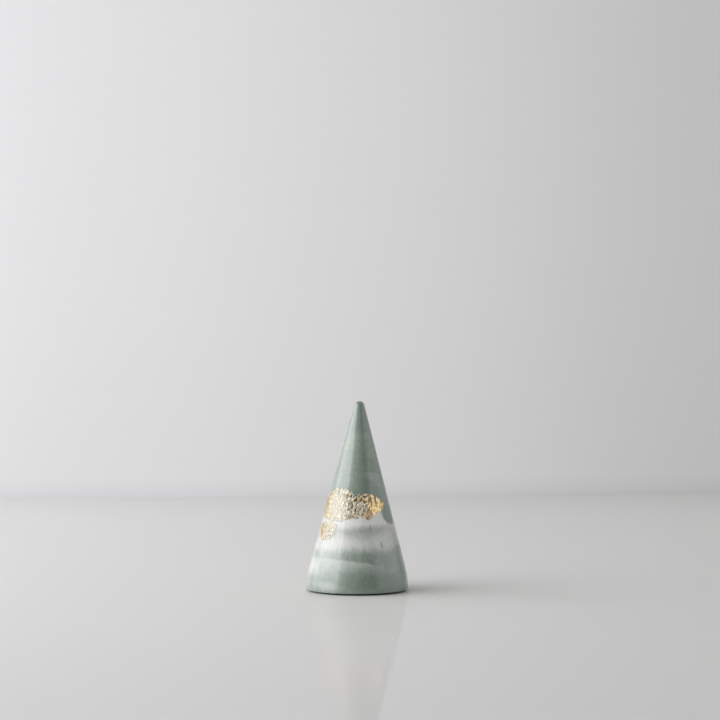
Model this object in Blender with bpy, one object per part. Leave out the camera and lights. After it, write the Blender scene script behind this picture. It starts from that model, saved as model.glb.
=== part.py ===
"""A ring cone holder: a slim hand-made cone of marbled clay that rings are dropped over.

The cone is one solid piece of sage green and white clay, rolled to a round tip, eased in at the
foot and sealed to a high gloss. Three torn sheets of gold leaf are pressed onto its front, and a
thin felt pad is glued under it. Nothing moves.

Units are metres and +Z is up. The origin lies on the table, under the middle of the foot, and the
front of the cone faces -Y.
"""

import math
from typing import NamedTuple

import bmesh
import bpy
from mathutils import Matrix, Vector

# The cone
TOTAL_HEIGHT = 0.1000
BASE_RADIUS = 0.02725
TIP_RADIUS = 0.0028
EDGE_RADIUS = 0.0006
EASE_RADIUS = 0.0340
TIP_LEAN = 0.0013

# The felt pad, which is set back under the foot's rounded edge
PAD_THICKNESS = 0.0006
PAD_SETBACK = 0.0026
GLUE_GAP = 0.0003

# The gold leaf, drawn much thicker than beaten leaf is, and the heights of its three sheets
LEAF_THICKNESS = 0.0002
LEAF_GAP = 0.0003
TEAR_DEPTH = 0.0005
TEAR_LENGTH = 0.0070
LEFT_LOW = 0.0377
LEFT_HIGH = 0.0546
RIGHT_LOW = 0.0388
RIGHT_HIGH = 0.0518
TAIL_LOW = 0.0276
TAIL_SLIT = 0.0011

# How finely round things are cut
ROUND_SEGMENTS = 96
EDGE_STEPS = 4
EASE_STEPS = 7
TIP_STEPS = 7
FLANK_ROWS = 6
LEAF_STEP = 0.0006
LEAF_ROWS = 4
MERGE_DISTANCE = 1e-6
SMOOTH_UNDER_DEGREES = 40

# Heights that follow from the sizes above
UNDERSIDE = PAD_THICKNESS + GLUE_GAP
WIDEST = UNDERSIDE + EDGE_RADIUS


class Station(NamedTuple):
    """A sheet of leaf at one bearing, by how far up the sheet its low and high edge lie.

    Bearings are in degrees round the cone from the front, positive towards +X. The edges are
    shares of the sheet's own height, from 0 at its lowest point to 1 at its highest.
    """

    bearing: float
    low: float
    high: float


class Sheet(NamedTuple):
    """One torn sheet of leaf, by the heights of its lowest and highest point and its stations."""

    name: str
    low: float
    high: float
    stations: tuple


LEFT_SHEET = Sheet(
    "gold_leaf_left",
    LEFT_LOW,
    LEFT_HIGH,
    (
        Station(-86, 0.31, 0.58),
        Station(-74, 0.15, 0.74),
        Station(-66, 0.07, 0.89),
        Station(-50, 0.00, 0.97),
        Station(-34, 0.00, 1.00),
        Station(-22, 0.04, 0.98),
        Station(-11, 0.09, 0.87),
    ),
)
RIGHT_SHEET = Sheet(
    "gold_leaf_right",
    RIGHT_LOW,
    RIGHT_HIGH,
    (
        Station(-8, 0.05, 0.85),
        Station(0, 0.08, 0.96),
        Station(12, 0.06, 0.98),
        Station(18, 0.00, 1.00),
        Station(24, 0.02, 0.98),
        Station(32, 0.25, 0.89),
        Station(40, 0.31, 0.81),
        Station(49, 0.42, 0.71),
        Station(54, 0.50, 0.58),
    ),
)
TAIL_SHEET = Sheet(
    "gold_leaf_tail",
    TAIL_LOW,
    LEFT_LOW - TAIL_SLIT,
    (
        Station(-73, 0.54, 0.91),
        Station(-69, 0.24, 0.98),
        Station(-62, 0.04, 1.00),
        Station(-53, 0.00, 1.00),
        Station(-45, 0.13, 0.99),
        Station(-38, 0.36, 0.93),
        Station(-34, 0.67, 0.87),
    ),
)
SHEETS = (LEFT_SHEET, RIGHT_SHEET, TAIL_SHEET)


class Finish(NamedTuple):
    """A finish by its linear colour, its roughness and how far it is a metal."""

    name: str
    color: tuple
    roughness: float
    metallic: float = 0.0
    coat: float = 0.0


CLAY = Finish("marbled_clay", (0.235, 0.296, 0.254), 0.30, coat=1.0)
GOLD = Finish("gold_leaf", (0.830, 0.560, 0.250), 0.28, metallic=1.0)
FELT = Finish("pad_felt", (0.022, 0.023, 0.021), 0.95)


def clear_scene():
    """Removes whatever objects the file opened with."""
    for item in list(bpy.data.objects):
        bpy.data.objects.remove(item, do_unlink=True)


def material(finish):
    """A Principled material for one finish."""
    made = bpy.data.materials.new(finish.name)
    made.use_nodes = True
    shader = made.node_tree.nodes["Principled BSDF"]
    shader.inputs["Base Color"].default_value = (*finish.color, 1.0)
    shader.inputs["Roughness"].default_value = finish.roughness
    shader.inputs["Metallic"].default_value = finish.metallic
    shader.inputs["Coat Weight"].default_value = finish.coat
    return made


def piece(name, shape, finish, holder):
    """Turns a bmesh into a named object under the holder, smooth but for its sharp edges."""
    mesh = bpy.data.meshes.new(name)
    shape.to_mesh(mesh)
    shape.free()
    mesh.materials.append(material(finish))
    mesh.shade_smooth()
    mesh.set_sharp_from_angle(angle=math.radians(SMOOTH_UNDER_DEGREES))
    made = bpy.data.objects.new(name, mesh)
    bpy.context.scene.collection.objects.link(made)
    made.parent = holder
    return made


def arc(middle, radius, start, end, steps):
    """Points along an arc of the turned profile, whose angles rise from the horizontal."""
    angles = [start + (end - start) * step / steps for step in range(steps + 1)]
    return [middle + radius * Vector((math.cos(a), math.sin(a))) for a in angles]


def ease_middle():
    """The centre of the long arc that brings the foot upright at its widest ring."""
    return Vector((BASE_RADIUS - EASE_RADIUS, WIDEST))


def tip_middle():
    """The centre of the round tip, on the turned axis."""
    return Vector((0.0, TOTAL_HEIGHT - TIP_RADIUS))


def flank_tilt():
    """How far the flank's outward normal rises, for a flank tangent to the easing arc and tip."""
    run = tip_middle() - ease_middle()
    off_run = math.acos((EASE_RADIUS - TIP_RADIUS) / run.length)
    return math.atan2(run.y, run.x) - off_run


def flank_ends():
    """The lowest and highest points of the straight flank, as radius and height."""
    normal = Vector((math.cos(flank_tilt()), math.sin(flank_tilt())))
    return ease_middle() + EASE_RADIUS * normal, tip_middle() + TIP_RADIUS * normal


def cone_profile():
    """The turned outline, from the middle of the underside round to the top of the tip."""
    tilt = flank_tilt()
    foot, top = flank_ends()
    edge_middle = Vector((BASE_RADIUS - EDGE_RADIUS, WIDEST))
    rows = [foot.lerp(top, row / FLANK_ROWS) for row in range(1, FLANK_ROWS)]
    outline = [Vector((0.0, UNDERSIDE))]
    outline += arc(edge_middle, EDGE_RADIUS, -math.pi / 2, 0.0, EDGE_STEPS)
    outline += arc(ease_middle(), EASE_RADIUS, 0.0, tilt, EASE_STEPS)[1:]
    outline += rows
    outline += arc(tip_middle(), TIP_RADIUS, tilt, math.pi / 2, TIP_STEPS)
    outline[-1].x = 0.0
    return outline


def lean():
    """The hand-made lean: the tip stands off the foot's middle, and the widest ring stays put."""
    slope = TIP_LEAN / (TOTAL_HEIGHT - WIDEST)
    sheared = Matrix.Identity(4)
    sheared[0][2] = slope
    sheared[0][3] = -slope * WIDEST
    return sheared


def cone_body(holder):
    """The clay cone, turned from its profile and then leant."""
    shape = bmesh.new()
    ring = [shape.verts.new((point.x, 0.0, point.y)) for point in cone_profile()]
    edges = [shape.edges.new(pair) for pair in zip(ring, ring[1:])]
    bmesh.ops.spin(
        shape,
        geom=ring + edges,
        cent=(0.0, 0.0, 0.0),
        axis=(0.0, 0.0, 1.0),
        angle=math.tau,
        steps=ROUND_SEGMENTS,
        use_merge=True,
    )
    bmesh.ops.remove_doubles(shape, verts=shape.verts, dist=MERGE_DISTANCE)
    bmesh.ops.recalc_face_normals(shape, faces=shape.faces)
    bmesh.ops.transform(shape, matrix=lean(), verts=shape.verts)
    return piece("cone_body", shape, CLAY, holder)


def base_pad(holder):
    """The felt disc that the cone stands on."""
    shape = bmesh.new()
    radius = BASE_RADIUS - PAD_SETBACK
    bmesh.ops.create_cone(
        shape,
        cap_ends=True,
        segments=ROUND_SEGMENTS,
        radius1=radius,
        radius2=radius,
        depth=PAD_THICKNESS,
    )
    pad = piece("base_pad", shape, FELT, holder)
    pad.location.z = PAD_THICKNESS / 2
    return pad


def flank_radius(height):
    """The flank's radius at a height, before the lean."""
    foot, top = flank_ends()
    return foot.x + (top.x - foot.x) * (height - foot.y) / (top.y - foot.y)


def on_flank(bearing, height, lift):
    """A point over the leaning flank at a bearing in radians, lifted square off the surface."""
    tilt = flank_tilt()
    radius = flank_radius(height) + lift * math.cos(tilt)
    rise = height + lift * math.sin(tilt)
    return lean() @ Vector((radius * math.sin(bearing), -radius * math.cos(bearing), rise))


def torn(distance):
    """How far a torn edge strays at a distance along it, in three waves of unlike length."""
    waves = ((1.0, 0.5), (2.3, 0.3), (4.9, 0.2))
    turns = distance / TEAR_LENGTH
    return TEAR_DEPTH * sum(size * math.sin(math.tau * rate * turns) for rate, size in waves)


def sheet_edges(sheet, bearing):
    """The heights of a sheet's low and high edge at a bearing, straight between its stations."""
    for before, after in zip(sheet.stations, sheet.stations[1:]):
        if bearing <= after.bearing:
            break
    share = (bearing - before.bearing) / (after.bearing - before.bearing)
    low = before.low + share * (after.low - before.low)
    high = before.high + share * (after.high - before.high)
    tall = sheet.high - sheet.low
    return sheet.low + low * tall, sheet.low + high * tall


def sheet_point(sheet, along, up, lift):
    """A point of a sheet, by its shares along and up the sheet and its lift off the flank.

    Facing edges of two sheets stray alike, as one tear does, so the slit between them stays open.
    """
    first, last = sheet.stations[0].bearing, sheet.stations[-1].bearing
    bearing = first + along * (last - first)
    low, high = sheet_edges(sheet, bearing)
    height = low + up * (high - low)
    radius = flank_radius(height)
    strayed = math.radians(bearing) + torn(height) / radius
    return on_flank(strayed, height + torn(strayed * radius), lift)


def sheet_side(shape, sheet, lift):
    """One side of a sheet as a grid of faces, and the loop of points round its torn edge."""
    span = math.radians(sheet.stations[-1].bearing - sheet.stations[0].bearing)
    columns = math.ceil(span * flank_radius(sheet.low) / LEAF_STEP)
    grid = [
        [
            shape.verts.new(sheet_point(sheet, column / columns, row / LEAF_ROWS, lift))
            for row in range(LEAF_ROWS + 1)
        ]
        for column in range(columns + 1)
    ]
    for near, far in zip(grid, grid[1:]):
        for row in range(LEAF_ROWS):
            shape.faces.new((near[row], far[row], far[row + 1], near[row + 1]))
    low = [column[0] for column in grid]
    high = [column[-1] for column in grid]
    return low + grid[-1][1:-1] + high[::-1] + grid[0][-2:0:-1]


def gold_leaf(sheet, holder):
    """One sheet of leaf, thin and closed, that follows the flank."""
    shape = bmesh.new()
    under = sheet_side(shape, sheet, LEAF_GAP)
    over = sheet_side(shape, sheet, LEAF_GAP + LEAF_THICKNESS)
    for point in range(len(under)):
        before = point - 1
        shape.faces.new((under[before], under[point], over[point], over[before]))
    bmesh.ops.recalc_face_normals(shape, faces=shape.faces)
    return piece(sheet.name, shape, GOLD, holder)


def main():
    """Builds the whole holder under one empty that marks its origin."""
    clear_scene()
    holder = bpy.data.objects.new("ring_cone_holder", None)
    bpy.context.scene.collection.objects.link(holder)
    cone_body(holder)
    base_pad(holder)
    for sheet in SHEETS:
        gold_leaf(sheet, holder)


main()
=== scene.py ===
"""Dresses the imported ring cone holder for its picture.

A slim cone of sage and white clay, marbled by hand and sealed to a high gloss, wears torn gold
leaf across its front left and stands on a thin felt pad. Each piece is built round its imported
solid by an operator of its own, and one more sets the pale table, the backdrop and the lamps.

Lengths are in metres, +Z is up and the front faces -Y. A bearing is measured round the cone from
the front, positive towards +X.
"""

import math
from typing import NamedTuple

import bmesh
import bpy
from bpy.props import FloatProperty, FloatVectorProperty, IntProperty, PointerProperty
from mathutils import Matrix, Vector


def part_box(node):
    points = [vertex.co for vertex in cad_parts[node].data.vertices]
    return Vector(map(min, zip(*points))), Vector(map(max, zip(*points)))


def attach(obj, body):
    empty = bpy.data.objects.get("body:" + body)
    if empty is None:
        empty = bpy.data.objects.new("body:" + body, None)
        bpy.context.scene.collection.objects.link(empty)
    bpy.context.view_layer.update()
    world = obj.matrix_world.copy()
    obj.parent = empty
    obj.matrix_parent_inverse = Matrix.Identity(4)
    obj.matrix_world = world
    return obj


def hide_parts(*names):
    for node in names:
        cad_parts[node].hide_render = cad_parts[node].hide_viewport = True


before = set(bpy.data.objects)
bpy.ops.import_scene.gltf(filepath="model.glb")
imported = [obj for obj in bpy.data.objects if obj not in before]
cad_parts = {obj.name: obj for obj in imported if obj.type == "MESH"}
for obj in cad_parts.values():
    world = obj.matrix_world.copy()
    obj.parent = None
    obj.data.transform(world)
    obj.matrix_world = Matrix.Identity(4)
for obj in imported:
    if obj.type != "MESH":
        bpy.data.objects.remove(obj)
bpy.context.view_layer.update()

bl_info = {
    "name": "Ring Cone Holder",
    "version": (1, 0, 0),
    "blender": (4, 5, 0),
    "location": "3D View > Sidebar > Ring Cone",
    "description": "Builds a marbled clay ring cone with torn gold leaf on a felt pad",
    "category": "Add Mesh",
}

BODY = "root"

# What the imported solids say
CONE_LOW, CONE_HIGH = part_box("cone_body")
PAD_LOW, PAD_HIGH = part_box("base_pad")
FOOT_RADIUS = CONE_HIGH.x
PAD_RADIUS = PAD_HIGH.x

MERGE_DISTANCE = 1e-6


# Settings


def a_length(name, description, default):
    """A setting that holds a length."""
    return FloatProperty(name=name, description=description, default=default, unit="LENGTH")


def a_share(name, description, default):
    """A setting that holds a share from 0 to 1."""
    return FloatProperty(name=name, description=description, default=default, subtype="FACTOR")


def a_number(name, description, default):
    """A setting that holds a plain number."""
    return FloatProperty(name=name, description=description, default=default)


def a_color(name, description, default):
    """A setting that holds a colour."""
    return FloatVectorProperty(name=name, description=description, default=default, subtype="COLOR")


class ConeSettings(bpy.types.PropertyGroup):
    """The turned shape of the clay cone."""

    edge_radius: a_length("Edge Radius", "Rounding of the foot's lower edge", 0.0006)
    ease_radius: a_length(
        "Ease Radius", "Long arc that brings the flank upright at its widest ring", 0.0340
    )
    tip_radius: a_length("Tip Radius", "Radius of the round tip", 0.0028)
    tip_lean: a_length(
        "Tip Lean", "How far the tip stands off the middle of the foot, towards +X", 0.0013
    )
    segments: IntProperty(name="Segments", description="Faces round the cone", default=288)
    hollow_depth: a_length(
        "Hollow Depth", "Deepest hollow that hand smoothing left in the surface", 0.00012
    )
    hollow_size: a_length("Hollow Size", "Distance from one hollow to the next", 0.016)


class ClaySettings(bpy.types.PropertyGroup):
    """The colours and the seal of the marbled clay."""

    sage: a_color("Sage", "Main green clay", (0.228, 0.299, 0.242))
    deep_sage: a_color("Deep Sage", "Green clay where it is least mixed", (0.145, 0.202, 0.157))
    white: a_color("White", "White clay", (0.840, 0.842, 0.805))
    clay_roughness: a_share("Clay Roughness", "Roughness of the clay under the seal", 0.38)
    seal_roughness: a_share("Seal Roughness", "Roughness of the clear gloss seal", 0.06)


class LeafSettings(bpy.types.PropertyGroup):
    """The crackled gold leaf."""

    gold: a_color("Gold", "Bright leaf", (0.815, 0.745, 0.585))
    # Old gold is both the leaf's wear and painted light: it is also laid on at the leaf's left edge,
    # front and right end
    old_gold: a_color("Old Gold", "Leaf where it is thin and rubbed", (0.950, 0.690, 0.345))
    # Painted highlight: paler gold over the leaf's front, standing in for the many small highlights
    # of crumpled leaf
    front_highlight_gold: a_color(
        "Bright Gold", "Leaf at the front, where it is least worn", (0.970, 0.890, 0.720)
    )
    # Painted shade in the leaf's creases
    crease_shade: a_color("Crease", "Leaf in its dull creases", (0.260, 0.140, 0.030))
    # Painted highlight on the crests between the creases
    glint: a_color("Glint", "Leaf on the crests between its creases", (1.000, 0.950, 0.840))
    flake_width: a_length("Flake Width", "Usual width of a flake between cracks", 0.00056)
    flake_height: a_length("Flake Height", "Usual height of a flake between cracks", 0.0024)
    tilt: a_number("Tilt", "Most that a flake leans from the clay, as rise over run", 0.24)
    thickness: a_length("Thickness", "Thickness of the leaf with its crumples", 0.00005)
    spill: a_length("Spill", "Furthest that a flake hangs over the torn edge of its sheet", 0.0005)


class PadSettings(bpy.types.PropertyGroup):
    """The felt pad under the foot."""

    felt: a_color("Felt", "Dark pressed felt", (0.022, 0.023, 0.021))
    edge_waver: a_length("Edge Waver", "How far the cut edge strays inwards", 0.00025)
    nap: a_length("Nap", "Height of the felt's bumps", 0.0001)


class StageSettings(bpy.types.PropertyGroup):
    """The table, the backdrop, the lamps and the camera."""

    table: a_color("Table", "Pale table top", (0.845, 0.845, 0.83))
    table_sheen: a_share("Table Sheen", "Share of the light that the table top mirrors", 0.12)
    backdrop: a_color("Backdrop", "Pale wall behind the table", (0.89, 0.89, 0.895))
    table_reach: a_length("Table Reach", "Distance from the cone back to the wall", 0.737)
    room_light: a_number("Room Light", "Strength of the light that comes from all round", 0.33)
    softbox_radiance: a_number(
        "Softbox Radiance", "Brightness of the large softbox on the left", 3.0
    )
    leaf_radiance: a_number(
        "Leaf Radiance",
        "Brightness of the same softbox as the gold leaf mirrors it, held below glare",
        1.12,
    )
    leaf_fill_radiance: a_number(
        "Leaf Fill Radiance",
        "Brightness of the reflector at the front right that only the gold leaf mirrors",
        0.22,
    )
    board_radiance: a_number("Board Radiance", "Brightness of the white board on the right", 0.38)
    camera_distance: a_length("Camera Distance", "Distance from the cone to the camera", 1.058)
    camera_height: a_length("Camera Height", "Height of the level camera above the table", 0.1217)


class RingConeSettings(bpy.types.PropertyGroup):
    """All the settings of the ring cone."""

    cone: PointerProperty(type=ConeSettings)
    clay: PointerProperty(type=ClaySettings)
    leaf: PointerProperty(type=LeafSettings)
    pad: PointerProperty(type=PadSettings)
    stage: PointerProperty(type=StageSettings)


def settings():
    """The scene's ring cone settings."""
    return bpy.context.scene.ring_cone


# Node trees


class Value:
    """A node's output that Python arithmetic can use. Each operator adds the Math node it names."""

    def __init__(self, maker, socket):
        self.maker = maker
        self.socket = socket

    def also(self, name):
        """Another output of the same node."""
        return Value(self.maker, pick(self.socket.node.outputs, name))

    def ease(self, start, end, full=1.0):
        """0 before the start and full after the end, with a smooth rise between."""
        inputs = {"Value": self, "From Min": start, "From Max": end, "To Max": full}
        return self.maker.node("ShaderNodeMapRange", inputs, interpolation_type="SMOOTHSTEP")

    def __add__(self, other):
        return self.maker.math("ADD", self, other)

    def __sub__(self, other):
        return self.maker.math("SUBTRACT", self, other)

    def __rsub__(self, other):
        return self.maker.math("SUBTRACT", other, self)

    def __mul__(self, other):
        return self.maker.math("MULTIPLY", self, other)

    def __truediv__(self, other):
        return self.maker.math("DIVIDE", self, other)

    def __rtruediv__(self, other):
        return self.maker.math("DIVIDE", other, self)

    def __neg__(self):
        return self.maker.math("MULTIPLY", self, -1.0)

    __radd__ = __add__
    __rmul__ = __mul__


def pick(sockets, key):
    """A socket by its number, or the first one in use that has the name."""
    if isinstance(key, int):
        return sockets[key]
    return next(socket for socket in sockets if socket.name == key and socket.enabled)


def set_points(mapping, points):
    """Gives a float curve its points, from left to right."""
    curve = mapping.curves[0]
    while len(curve.points) < len(points):
        curve.points.new(1.0, 1.0)
    for point, place in zip(curve.points, points):
        point.location = place
        point.handle_type = "AUTO_CLAMPED"
    mapping.update()


class NodeMaker:
    """Adds nodes to one tree, for a material or for geometry."""

    def __init__(self, tree):
        self.tree = tree

    def node(self, kind, inputs=None, out=0, **setup):
        """Adds a node by its type, with its settings, which come first, and its sockets' values.

        A colour is given without its alpha. What comes back is the output with a name or number.
        """
        made = self.tree.nodes.new(kind)
        for name, value in setup.items():
            if name == "points":
                set_points(made.mapping, value)
            else:
                setattr(made, name, value)
        for key, value in (inputs or {}).items():
            socket = pick(made.inputs, key)
            if isinstance(value, Value):
                self.tree.links.new(value.socket, socket)
            elif socket.type == "RGBA":
                socket.default_value = (*value, 1.0)
            else:
                socket.default_value = value
        return Value(self, pick(made.outputs, out)) if made.outputs else None

    def math(self, operation, *values):
        """A Math node on values or numbers."""
        return self.node("ShaderNodeMath", dict(enumerate(values)), operation=operation)

    def vector(self, operation, *vectors):
        """A Vector Math node on vectors."""
        return self.node("ShaderNodeVectorMath", dict(enumerate(vectors)), operation=operation)

    def xyz(self, x, y, z):
        """A vector from its three parts."""
        return self.node("ShaderNodeCombineXYZ", {0: x, 1: y, 2: z})

    def parts(self, vector):
        """The three parts of a vector."""
        split = self.node("ShaderNodeSeparateXYZ", {0: vector})
        return split, split.also("Y"), split.also("Z")

    def noise(self, vector, scale, detail=2.0, roughness=0.5, out="Fac"):
        """Smooth noise about 0.5, by how many swells there are to a unit of the vector."""
        inputs = {"Vector": vector, "Scale": scale, "Detail": detail, "Roughness": roughness}
        return self.node("ShaderNodeTexNoise", inputs, out)

    def mix(self, share, first, second):
        """The first colour turned towards the second by a share."""
        inputs = {"Factor": share, "A": first, "B": second}
        return self.node("ShaderNodeMix", inputs, "Result", data_type="RGBA")

    def bump(self, height, strength, distance):
        """The surface's direction, pressed about by a height."""
        inputs = {"Strength": strength, "Distance": distance, "Height": height}
        return self.node("ShaderNodeBump", inputs)


def new_material(name):
    """A material with an empty node tree, and the maker of its nodes."""
    made = bpy.data.materials.new(name)
    made.use_nodes = True
    made.node_tree.nodes.clear()
    return made, NodeMaker(made.node_tree)


def put_out(maker, kind, inputs):
    """Ends a material in its shader, by the shader's type and sockets."""
    surface = maker.node(kind, inputs)
    maker.node("ShaderNodeOutputMaterial", {"Surface": surface})


def geometry_tree(name, **labels):
    """A Geometry Nodes tree, the maker of its nodes and what it is given.

    Its inputs are a geometry, a material and the labels that each kind of socket comes with.
    """
    tree = bpy.data.node_groups.new(name, "GeometryNodeTree")
    inputs = {"Geometry": ("Geometry",), **labels, "Material": ("Material",)}
    for kind, names in inputs.items():
        for label in names:
            tree.interface.new_socket(label, in_out="INPUT", socket_type="NodeSocket" + kind)
    tree.interface.new_socket("Geometry", in_out="OUTPUT", socket_type="NodeSocketGeometry")
    maker = NodeMaker(tree)
    start = maker.node("NodeGroupInput")
    return tree, maker, {name: start.also(name) for names in inputs.values() for name in names}


def end_tree(maker, given, shape):
    """Ends a geometry tree in real mesh that wears the given material."""
    real = maker.node("GeometryNodeRealizeInstances", {"Geometry": shape})
    dressed = {"Geometry": real, "Material": given["Material"]}
    worn = maker.node("GeometryNodeSetMaterial", dressed)
    maker.node("NodeGroupOutput", {"Geometry": worn})


# Meshes and objects


def finished_mesh(shape, name):
    """The mesh of a finished bmesh."""
    mesh = bpy.data.meshes.new(name)
    shape.to_mesh(mesh)
    shape.free()
    return mesh


def new_object(name, data):
    """A new object in the scene."""
    made = bpy.data.objects.new(name, data)
    bpy.context.scene.collection.objects.link(made)
    return made


def grow(name, tree, start, sizes):
    """The plain mesh object that a geometry tree makes from a starting mesh and its sizes."""
    made = new_object(name, start)
    modifier = made.modifiers.new(tree.name, "NODES")
    modifier.node_group = tree
    for item in tree.interface.items_tree:
        if item.in_out == "INPUT" and item.name in sizes:
            modifier[item.identifier] = sizes[item.name]
    shown = made.evaluated_get(bpy.context.evaluated_depsgraph_get())
    made.data = bpy.data.meshes.new_from_object(shown)
    made.modifiers.remove(modifier)
    made.data.name = name
    return made


def fit(piece, slot, *nodes):
    """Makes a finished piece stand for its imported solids."""
    if not piece.data.polygons:
        raise RuntimeError(f"{piece.name} came out empty")
    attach(piece, BODY)
    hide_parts(*nodes)


# The turned shape


def arc(middle, radius, start, end, steps):
    """Points along an arc of the turned profile, whose angles rise from the horizontal."""
    angles = [start + (end - start) * step / steps for step in range(steps + 1)]
    return [middle + radius * Vector((math.cos(a), math.sin(a))) for a in angles]


class Flank:
    """The straight flank, tangent to the easing arc below it and to the round tip above."""

    def __init__(self, cone):
        self.widest = CONE_LOW.z + cone.edge_radius
        self.ease_middle = Vector((FOOT_RADIUS - cone.ease_radius, self.widest))
        self.tip_middle = Vector((0.0, CONE_HIGH.z - cone.tip_radius))
        run = self.tip_middle - self.ease_middle
        off_run = math.acos((cone.ease_radius - cone.tip_radius) / run.length)
        self.tilt = math.atan2(run.y, run.x) - off_run
        normal = Vector((math.cos(self.tilt), math.sin(self.tilt)))
        self.foot = self.ease_middle + cone.ease_radius * normal
        self.top = self.tip_middle + cone.tip_radius * normal
        self.taper = math.tan(self.tilt)
        self.radius_at_table = self.foot.x + self.foot.y * self.taper
        self.lean_slope = cone.tip_lean / (CONE_HIGH.z - self.widest)


UNDERSIDE_RINGS = 10
EDGE_STEPS = 14
EASE_STEPS = 14
FLANK_RINGS = 150
TIP_STEPS = 22


def cone_profile(cone):
    """The turned outline, from the middle of the underside round to the top of the tip."""
    flank = Flank(cone)
    edge_middle = Vector((FOOT_RADIUS - cone.edge_radius, flank.widest))
    outline = [
        Vector((edge_middle.x * ring / UNDERSIDE_RINGS, CONE_LOW.z))
        for ring in range(UNDERSIDE_RINGS)
    ]
    outline += arc(edge_middle, cone.edge_radius, -math.pi / 2, 0.0, EDGE_STEPS)
    outline += arc(flank.ease_middle, cone.ease_radius, 0.0, flank.tilt, EASE_STEPS)[1:]
    outline += [flank.foot.lerp(flank.top, n / FLANK_RINGS) for n in range(1, FLANK_RINGS)]
    outline += arc(flank.tip_middle, cone.tip_radius, flank.tilt, math.pi / 2, TIP_STEPS)
    outline[-1].x = 0.0
    mesh = bpy.data.meshes.new("cone_profile")
    steps = [(step, step + 1) for step in range(len(outline) - 1)]
    mesh.from_pydata([(point.x, 0.0, point.y) for point in outline], steps, [])
    return mesh


def turned_cone_tree():
    """Turns a profile about the upright axis, with shallow hollows, and leans it."""
    tree, maker, given = geometry_tree(
        "turned_cone",
        Int=("Segments",),
        Float=("Hollow Depth", "Hollow Size", "Calm Radius", "Lean Slope", "Lean From"),
    )
    profile = given["Geometry"]
    count = maker.node("GeometryNodeAttributeDomainSize", {"Geometry": profile}, component="MESH")
    grid = maker.node(
        "GeometryNodeMeshGrid",
        {"Size X": 1.0, "Size Y": 1.0, "Vertices X": given["Segments"] + 1, "Vertices Y": count},
    )
    position = maker.node("GeometryNodeInputPosition")
    across, up, _ = maker.parts(position)
    row = maker.math("ROUND", (up + 0.5) * (count - 1))
    outline = maker.node(
        "GeometryNodeSampleIndex",
        {"Geometry": profile, "Value": position, "Index": row},
        data_type="FLOAT_VECTOR",
        domain="POINT",
    )
    radius, _, height = maker.parts(outline)
    bearing = across * math.tau
    right = maker.math("SINE", bearing)
    back = -maker.math("COSINE", bearing)
    smooth = maker.xyz(radius * right, radius * back, height)
    swell = maker.noise(smooth, 1.0 / given["Hollow Size"], detail=1.0)
    calm = maker.math("MINIMUM", radius / given["Calm Radius"], 1.0)
    dented = radius - given["Hollow Depth"] * swell * calm
    lean = (height - given["Lean From"]) * given["Lean Slope"]
    place = maker.xyz(dented * right + lean, dented * back, height)
    turned = maker.node(
        "GeometryNodeSetPosition", {"Geometry": grid.also("Mesh"), "Position": place}
    )
    closed = maker.node(
        "GeometryNodeMergeByDistance", {"Geometry": turned, "Distance": MERGE_DISTANCE}
    )
    soft = maker.node("GeometryNodeSetShadeSmooth", {"Geometry": closed})
    end_tree(maker, given, soft)
    return tree


# The marbled clay

# Paths in the marbling run round the cone by bearings in degrees, from the back, and give heights
# in millimetres or shares in percent. Both are out of this mark.
FULL_MARK = 100.0
MILLIMETRES = 1000.0
BACK_BEARING = 180.0


class Layer(NamedTuple):
    """One folded layer of paler or darker clay, seen as a band round the cone.

    Each edge and the strength is a path of stations, a bearing with a height or a share, which
    starts at the back and ends there as it started. The softness is how far the low edge and the
    high edge take to fade, in millimetres, and the fray is the share of the streaks' push that
    the edges follow.
    """

    low: tuple
    high: tuple
    strength: tuple
    soft: tuple
    fray: float = 1.0


def level(value):
    """A path that stays the same all the way round."""
    return ((-BACK_BEARING, value),)


# The white cloud under the leaf, whose right end stops against a wedge of deep green
CLOUD = Layer(
    low=((-180, 36), (-90, 35.5), (-36, 35.2), (-20, 34.5), (-6, 34.5), (6, 35), (26, 35.1),
         (38, 35.5), (50, 35), (62, 34), (120, 35)),
    high=((-180, 41), (-100, 40), (-60, 44), (-30, 46), (0, 45), (38, 44.5), (43, 43), (47, 38.6),
          (52, 37), (58, 35.6), (70, 34.6), (120, 39)),
    strength=((-180, 50), (-106, 35), (-76, 52), (-48, 50), (-36, 55), (-24, 68), (-10, 100),
              (42, 100), (50, 75), (60, 30), (80, 30), (130, 45)),
    soft=(4.0, 2.0), fray=0.4,
)
# Grey green that white has half covered, from the cloud down to the green of the foot
GREY_GROUND = Layer(
    low=((-180, 25), (-90, 22), (-40, 22.3), (20, 22.6), (40, 21.8), (55, 23.2), (70, 25)),
    high=((-180, 38), (46, 38), (58, 36), (90, 36)),
    strength=((-180, 30), (-106, 26), (-80, 40), (-54, 30), (-40, 36), (-22, 38), (-8, 37),
              (4, 33), (14, 34), (26, 35), (38, 37), (48, 50), (60, 38), (70, 50), (100, 40)),
    soft=(5.0, 2.0),
)
# The paler band across the middle of it
PALE_BAND = Layer(
    low=((-180, 26), (-90, 23), (-20, 24), (0, 24), (26, 24.2), (40, 23.8), (60, 25)),
    high=((-180, 31), (-90, 30), (-20, 29.8), (10, 29.4), (30, 30.2), (45, 31.8), (58, 32)),
    strength=((-180, 30), (-106, 26), (-82, 46), (-68, 45), (-54, 20), (-40, 38), (-26, 42),
              (-12, 73), (4, 66), (26, 68), (48, 48), (58, 20), (66, 0), (110, 10)),
    soft=(5.5, 6.5),
)
# A veil in the green between that band and the foot
LOW_VEIL = Layer(
    low=((-180, 16), (-60, 16.5), (10, 18.5), (36, 12), (54, 11)),
    high=level(25),
    strength=((-180, 10), (-106, 16), (-80, 32), (-60, 14), (-42, 18), (-20, 12), (-6, 16), (8, 8),
              (24, 10), (38, 10), (50, 18), (58, 10), (64, 2), (110, 0)),
    soft=(5.0, 3.0),
)
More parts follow.
